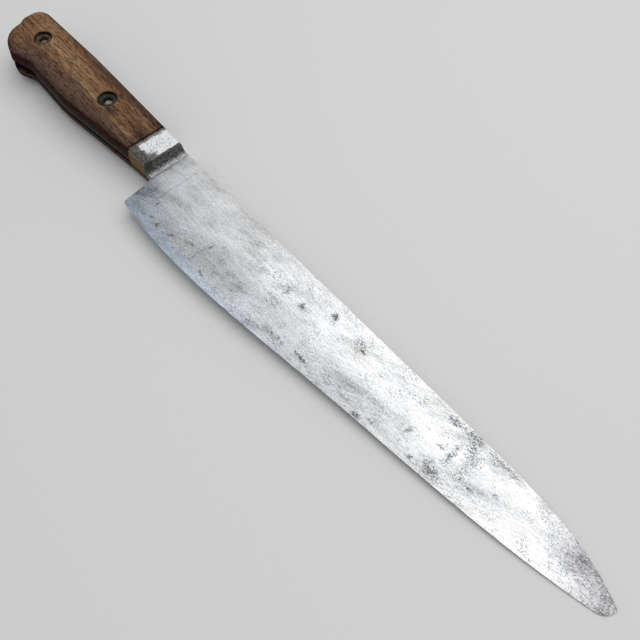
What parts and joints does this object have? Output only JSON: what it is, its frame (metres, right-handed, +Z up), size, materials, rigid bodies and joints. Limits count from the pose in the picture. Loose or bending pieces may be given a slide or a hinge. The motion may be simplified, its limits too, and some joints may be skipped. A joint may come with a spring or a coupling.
{
  "type": "chef knife",
  "caption": "Long slim kitchen knife lying on its side: forged blade with a blunt point, steel bolster, full tang and wooden scales held by hollow rivets.",
  "frame": {"origin": "bottom centre of the whole knife's box as it lies on its left side", "axes": "+X along the knife towards the point, +Y from the cutting edge towards the spine, +Z up through the thickness, from the left scale to the right scale"},
  "size_m": [0.3994, 0.0438, 0.019],
  "materials": {
    "blade_steel": "worn satin steel with pits, scratches and grey patina",
    "bolster_steel": "brighter polished steel with dark patina along its edges",
    "walnut": "oiled dark open-grained hardwood",
    "rivet_steel": "blackened rivet heads",
    "pin_brass": "worn pale pin end"
  },
  "bodies": {
    "root": {"blade": "blade_steel", "bolster": "bolster_steel", "right_scale": "walnut", "left_scale": "walnut", "front_rivet_barrel": "rivet_steel", "rear_rivet_barrel": "rivet_steel", "front_rivet_post": "pin_brass", "rear_rivet_post": "pin_brass"}
  },
  "joints": []
}
